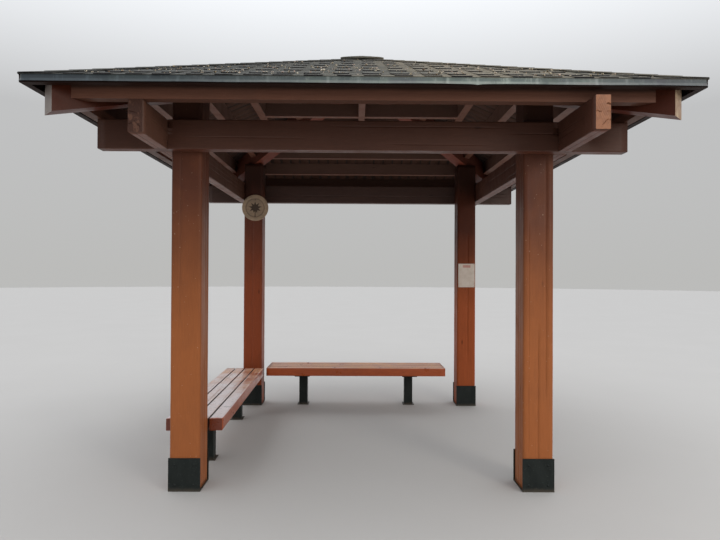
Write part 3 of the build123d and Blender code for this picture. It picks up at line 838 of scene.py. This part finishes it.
def make_hip_caps():
    """Folded caps up the four hips: each is a slab over the rounded fold, thick at its butt, in its tone."""
    step = EXPOSURE / math.hypot(math.sqrt(2), PITCH)
    rng = np.random.default_rng(811)
    count = int(SHINGLE_EDGE / step)
    places, corner = np.tile(np.arange(count), 4), np.repeat(np.arange(4), count)
    butt = SHINGLE_EDGE - 0.0015 - places * step - rng.uniform(0, 0.002, len(places)) * (places > 0)
    head = butt - step * 1.12
    w = np.array([-1, -0.66, -0.33, -0.11, -0.045, 0, 0.045, 0.11, 0.33, 0.66, 1])
    share = np.array([0.0, 0.0, 0.5, 0.97, 1.0, 1.0])
    over = np.array([0.0, 1.0, 1.0, 1.0, 0.7, 0.0])
    half = HIP_CAP_HALF + rng.uniform(-0.002, 0.002, len(places))
    across = half[:, None, None] * w[None, :, None] + rng.normal(0, 0.0015, len(places))[:, None, None]
    s = head[:, None, None] + (butt - head)[:, None, None] * share[None, None]
    edge, diagonal = SHINGLE_EDGE - 0.0012, across / math.sqrt(2)
    x, y = np.clip(s + diagonal, 0.001, edge), np.clip(-s + diagonal, -edge, -0.001)
    ridge = (x + y) / math.sqrt(2)
    rounding = HIP_PITCH * (np.sqrt(ridge**2 + 0.006**2) - np.abs(ridge))
    z = bed(np.maximum(x, -y)) + 0.0069 - rounding + over * (0.0029 + 0.0030 * share)
    points = np.stack(np.broadcast_arrays(x, y, z), -1).reshape(len(places), len(w) * PROFILE, 3)
    points = np.concatenate([turned(points[corner == q], q) for q in range(4)])
    tone = np.repeat(np.clip(rng.normal(0.45, 0.20, len(places)), 0, 1), len(w) * PROFILE)
    cut = np.tile([0, 0, 0, 0, 1, 1], len(w) * len(places))
    piece("hip_cap_tabs", [many(points, capped_tube(len(w), PROFILE))], shingle, ["hip_caps"],
          marks={"tone": tone, "cut": cut})


def make_peak_cap():
    """The square cap over the peak: a rounded pyramid sheet on a grid, with its lower face and rim."""
    line, rounding = np.linspace(-PEAK_HALF, PEAK_HALF, 21), 0.012
    x, y = np.meshgrid(line, line, indexing="ij")
    far = (np.abs(x) ** 8 + np.abs(y) ** 8) ** (1 / 8)
    base = bed(0) + 0.0132 - PITCH * (np.sqrt(far**2 + rounding**2) - rounding)
    top = base + 0.0158 - 0.0012 * (1 + sway(x * 3 + y * 5, 0.2, 3))
    points = np.concatenate([np.stack([x, y, z], -1).reshape(-1, 3) for z in (base, top)])
    piece("peak_cap_tab", closed(points, shell_faces(*x.shape)), shingle, ["peak_cap"], smooth=30,
          marks={"tone": np.full(len(points), 0.5)})


def make_drip_edge():
    """The folded metal edge: its section carried round the square eave with small rounded corners. The face
    waves slightly, has a step at each lap of two lengths, and one small dent in the front foot."""
    edge, radius, dent_at, dent_wide, dent_deep = EAVE - EDGE_T, 0.018, 0.656, 0.022, 0.0045
    corner, inner = underside(edge) + DECK_T * STRETCH, edge - EDGE_FLANGE
    foot, core = corner - EDGE_HIGH, EAVE - radius
    out = np.array([inner, edge, edge, edge + EDGE_KICK, EAVE + EDGE_KICK, EAVE, EAVE, inner])
    up = np.array([underside(inner) + DECK_T * STRETCH, corner, foot + EDGE_FOOT, foot, foot + 0.0004,
                   foot + EDGE_FOOT, bed(EAVE), bed(inner)])
    weight = np.array([0, 0, 0.7, 1, 1, 0.7, 0, 0.0])
    straight = np.linspace(-1, 1, 150)[:-1] * core
    along = np.concatenate([straight, np.full(8, core)])
    swing = np.concatenate([np.zeros(len(straight)), np.linspace(0, np.pi / 2, 9)[:-1]])[:, None]
    within, over = np.minimum(out, core), np.maximum(out - core, 0)
    ring_points, ring_u = [], []
    for quarter in range(4):
        wave = 0.0007 * sway(along, 0.35, 900 + quarter) + 0.0008 * (sway(along, 0.9, 920 + quarter) > 0.35)
        wave = np.abs(wave * gate(along, -1.9, 1.9, 0.1))[:, None] * weight
        x = np.clip(along[:, None], -within, within) + over * np.sin(swing)
        y = wave - within - over * np.cos(swing)
        ring_points.append(turned(np.stack([x, y, np.zeros_like(x)], -1), quarter))
        ring_u.append(along + 2 * EAVE * quarter)
    points, u = np.concatenate(ring_points), np.concatenate(ring_u)
    dent = np.exp(-(((u - dent_at) / dent_wide) ** 2))[:, None]
    points[..., 2] = up + 0.0016 * sway(u, 0.8, 950)[:, None] * weight - dent_deep * dent * (weight > 0.9)
    rows, ring = points.shape[:2]
    points = points.reshape(-1, 3)
    uv = np.stack([np.repeat(u, ring), (points[:, 2] - foot) * 16], -1)
    quads = tube_faces(rows + 1, ring) % len(points)
    piece("drip_edge_metal", closed(points, quads), metal, ["drip_edges"], smooth=28, uv=uv)


def make_litter():
    """Petals and scraps of leaf that lie on the courses and against the butts, thickest low down: small bent
    leaves of a 3 by 3 grid, laid on the slope at seeded places and turns."""
    step, rng, n, leaf_thick = EXPOSURE / STRETCH, np.random.default_rng(64), 1700, 0.0004
    course = np.floor(np.abs(rng.normal(0, 4.5, n))) % 15
    at_butt = rng.random(n) < 0.7
    s = SHINGLE_EDGE - step * course - np.where(at_butt, -0.006, rng.uniform(0.0, 0.11, n)) - 0.018
    u = rng.uniform(-1, 1, n) * np.maximum(s - 0.14, 0.0)
    keep = (s > 0.2) & (s < EAVE - 0.014)
    s, u, n = s[keep, None], u[keep, None], int(keep.sum())
    size = rng.uniform(0.0040, 0.0095, n)[:, None]
    a, b = (grid.ravel()[None] for grid in np.meshgrid([-1.0, 0.0, 1.0], [-1.0, 0.0, 1.0], indexing="ij"))
    angle = rng.uniform(0, np.pi, n)[:, None]
    p = a * size * (1 - 0.35 * b**2)
    q = b * size * rng.uniform(0.4, 0.9, n)[:, None] * (1 - 0.35 * a**2)
    dx, dy = p * np.cos(angle) - q * np.sin(angle), p * np.sin(angle) + q * np.cos(angle)
    curl = rng.uniform(0.2, 0.9, n)[:, None] * (a**2 + b**2) * size
    x, y = u + dx, -(s + dy)
    up_the_tab = np.clip(1 - ((SHINGLE_EDGE + y) % step) / step, 0, 1)
    top = np.stack([x, y, bed(-y) + 0.003 + 0.0055 * up_the_tab + curl], -1)
    slabs = np.concatenate([top - [0, 0, leaf_thick], top], 1)
    quarter = rng.integers(0, 4, n)
    points = np.concatenate([turned(slabs[quarter == k], k) for k in range(4)])
    piece("roof_litter", [many(points, [shell_faces(3, 3)])], litter,
          marks={"tone": np.repeat(rng.random(n), 2 * a.size)})


# Fittings


def studs(places, direction, radius, rise, washer):
    """Domed bolt heads on washers: a six-point profile turned round a direction in steps at each place."""
    steps = 16
    radii = np.array([washer, washer, 1.0, 1.0, 0.82, 0.45])[:, None, None] * radius
    levels = np.array([0.0, 0.16, 0.2, 0.62, 0.86, 1.0])[:, None, None] * rise
    turn = np.linspace(0, 2 * np.pi, steps + 1)[:-1][None, :, None]
    d, e = np.array(direction, float), np.array([1.0, 0, 0])
    ring = radii * (np.cos(turn) * e + np.sin(turn) * np.cross(d, e)) + levels * d
    return many(np.array(places)[:, None] + ring.reshape(1, -1, 3), capped_tube(len(radii), steps))


def around(x, y, z, across, up):
    """Four places round a middle on a face that looks to the front or the back."""
    return [(x + a * across, y, z + b * up) for a in (-1, 1) for b in (-1, 1)]


def make_bolts():
    """Four low bolt heads on each plate of the post shoes."""
    out, middle, across, up = POST / 2 + PLATE_T, 0.1165, 0.068, 0.070
    head = {"radius": 0.0065, "rise": 0.0045, "washer": 1.5}
    parts = [studs(around(x, y + sign * out, middle, across, up), (0, sign, 0), **head)
             for x in (-POST_LINE, POST_LINE) for y in (-POST_LINE, POST_LINE) for sign in (-1, 1)]
    piece("shoe_bolts", parts, steel)


def make_plaque():
    """The turned plaque: its front is a surface of radius and angle, with a raised rounded rim, a sunk field
    and a plain leaf of nine points and a stem cut into it. The leaf's edge goes out by one less a power of a
    sine of the angle."""
    low, high = extent("round_plaque")
    (x0, _, z0), y0, reach = (low + high) / 2, high[1], (high[0] - low[0]) / 2
    inner, steps = reach - 0.041, 180
    turn = np.linspace(0, 2 * np.pi, steps + 1)[:-1]
    radii = np.concatenate([np.linspace(0.004, inner - 0.006, 46), [inner - 0.002, inner, inner + 0.003],
                            np.linspace(inner + 0.01, reach - 0.008, 6), [reach - 0.004, reach - 0.001, reach]])
    r, a = np.meshgrid(radii, turn, indexing="ij")
    rim = np.clip((r - inner + 0.002) / 0.004, 0, 1)
    front = 0.013 + 0.005 * rim - 0.004 * np.clip((r - reach + 0.006) / 0.006, 0, 1) ** 2
    front = front - 0.0008 * np.exp(-(((r - reach + 0.020) / 0.002) ** 2))
    up = a - np.pi / 2
    across, height, top = r * np.sin(up), r * np.cos(up), np.cos(up)
    points_of_leaf = (1 - np.abs(np.sin(4.5 * up)) ** 0.9) * np.clip(1.2 + 0.8 * top, 0, 1)
    lobes = 0.040 + (0.038 - 0.006 * top) * points_of_leaf
    stem = (np.abs(across) < 0.0045) & (top < 0) & (r < inner - 0.001)
    cut = np.maximum(np.clip((lobes - r) / 0.006 + 0.5, 0, 1), stem)
    hole = np.exp(-(((height - 0.093) ** 2 + across**2) / 0.005**2))
    front = front - 0.0025 * cut - 0.004 * hole
    face = np.stack([x0 + r * np.cos(a), y0 - front, z0 + r * np.sin(a)], -1)
    points = np.concatenate([face, face[-1:] * [1, 0, 1] + [0, y0, 0]]).reshape(-1, 3)
    # The leaf and stem cut are dark, the motif's colour; the hole and the band just inside the raised rim are
    # dark as painted shade; the rest of the sunk field is a little darker.
    dark = np.clip(0.85 * cut + 0.8 * hole + (0.30 * (r > 0.098) + 0.12) * (1 - rim), 0, 0.92)
    piece("carved_plaque", closed(points, *capped_tube(len(radii) + 1, steps)), plaque_wood,
          ["round_plaque"], smooth=35, marks={"tone": np.concatenate([dark.ravel(), np.zeros(steps)])})


def make_notice():
    """The notice sheet: a plain rectangle with slightly lifted corners, a faded band and four pins."""
    low, high = extent("notice_plate")
    (x0, _, z0), (w, _, h), y0 = (low + high) / 2, (high - low) / 2, high[1]
    u, v = np.meshgrid(np.linspace(-1, 1, 41), np.linspace(-1, 1, 61), indexing="ij")
    front = np.stack([x0 + u * w, y0 - 0.0030 - 0.0009 * (u * v) ** 4, z0 + v * h], -1).reshape(-1, 3)
    points = np.concatenate([front, front * [1, 0, 1] + [0, y0, 0]])
    band = 0.75 * gate(u, -0.45, 0.50, 0.12) * gate(v, 0.66, 0.88, 0.06)
    piece("notice_sheet", closed(points, shell_faces(*u.shape)), notice_sheet, ["notice_plate"],
          marks={"tone": np.concatenate([band.ravel(), np.zeros(u.size)])})
    pins = studs(around(x0, y0 - 0.0026, z0, 0.086, 0.128), (0, -1, 0), radius=0.0028, rise=0.0013, washer=1.1)
    piece("notice_pins", [pins], steel)


def dress_frame():
    """Finishes for the frame's own solids that stay: hips, purlins, ties, battens, shoes and bench legs."""
    for name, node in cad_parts.items():
        if node.hide_render:
            continue
        across = not name.endswith(("_right", "_left", "_along"))
        if name.startswith("post_shoe") or name.endswith("_legs"):
            finish = steel
        elif name.startswith("hip_rafter"):
            finish = hip_wood
        elif name == "eave_battens":
            finish = batten_painted_shade
        elif name.startswith("eave_purlin"):
            finish = eave_x if across else eave_y
        else:
            finish = frame_wood if across else frame_side
        materials = node.data.materials
        if not materials:
            materials.append(finish)
        for slot in range(len(materials)):
            materials[slot] = finish


# Studio


def make_studio():
    """A plain pale floor, a soft sky light that is brightest overhead, a broad soft key from the front right,
    and the camera, whose focal length and width are those of the photograph in pixels."""
    scene, reach, steps = bpy.context.scene, 60, 96
    rim = np.linspace(0, 2 * np.pi, steps + 1)[:-1]
    mesh = bpy.data.meshes.new("studio_floor")
    mesh.from_pydata([(reach * math.cos(t), reach * math.sin(t), 0) for t in rim], [], [list(range(steps))])
    mesh.materials.append(floor_finish())
    floor = bpy.data.objects.new("studio_floor", mesh)
    scene.collection.objects.link(floor)

    scene.world = bpy.data.worlds.new("studio_sky")
    scene.world.use_nodes = True
    sky = Nodes(scene.world.node_tree)
    level = sky.split(sky.coordinates("Generated"))[2]
    glow = sky.ramp(level, (0.0, (0.50, 0.50, 0.49)), (0.26, (0.53, 0.535, 0.54)), (0.50, (1.05, 1.08, 1.12)),
                    (0.80, (1.55, 1.60, 1.68)))
    out = sky.tree.nodes.new("ShaderNodeOutputWorld")
    sky.fill(out.inputs[0], sky.node("Background", Color=glow, Strength=1.0))

    lamp = bpy.data.lights.new("key", "AREA")
    lamp.shape, lamp.size, lamp.energy = "DISK", 2.5, 160
    lamp.color = (1.0, 0.94, 0.86)
    key = bpy.data.objects.new("key", lamp)
    key.location = (5.2, -7.2, 3.9)
    key.rotation_euler = (Vector((0.6, -1.0, 1.6)) - key.location).to_track_quat("-Z", "Y").to_euler()
    scene.collection.objects.link(key)

    place, yaw, pitch, roll = (-0.052, -5.160, 1.530), 0.0085, 0.0076, 0.0050
    focal_pixels, wide_pixels = 540, 720
    ahead = np.array([math.sin(yaw) * math.cos(pitch), math.cos(yaw) * math.cos(pitch), math.sin(pitch)])
    flat = np.array([math.cos(yaw), -math.sin(yaw), 0.0])
    over = np.cross(flat, ahead)
    right = math.cos(roll) * flat + math.sin(roll) * over
    up = -math.sin(roll) * flat + math.cos(roll) * over
    lens = bpy.data.cameras.new("camera")
    lens.sensor_width, lens.lens = 36.0, 36.0 * focal_pixels / wide_pixels
    lens.clip_start, lens.clip_end = 0.05, 200
    camera = bpy.data.objects.new("camera", lens)
    camera.matrix_world = Matrix([*zip(right, up, -ahead, place), (0, 0, 0, 1)])
    scene.collection.objects.link(camera)
    scene.camera = camera
    scene.view_settings.view_transform = "Standard"


make_posts()
make_beams()
make_planks()
make_soffit()
make_shingles()
make_hip_caps()
make_peak_cap()
make_drip_edge()
make_litter()
make_bolts()
make_plaque()
make_notice()
dress_frame()
make_studio()
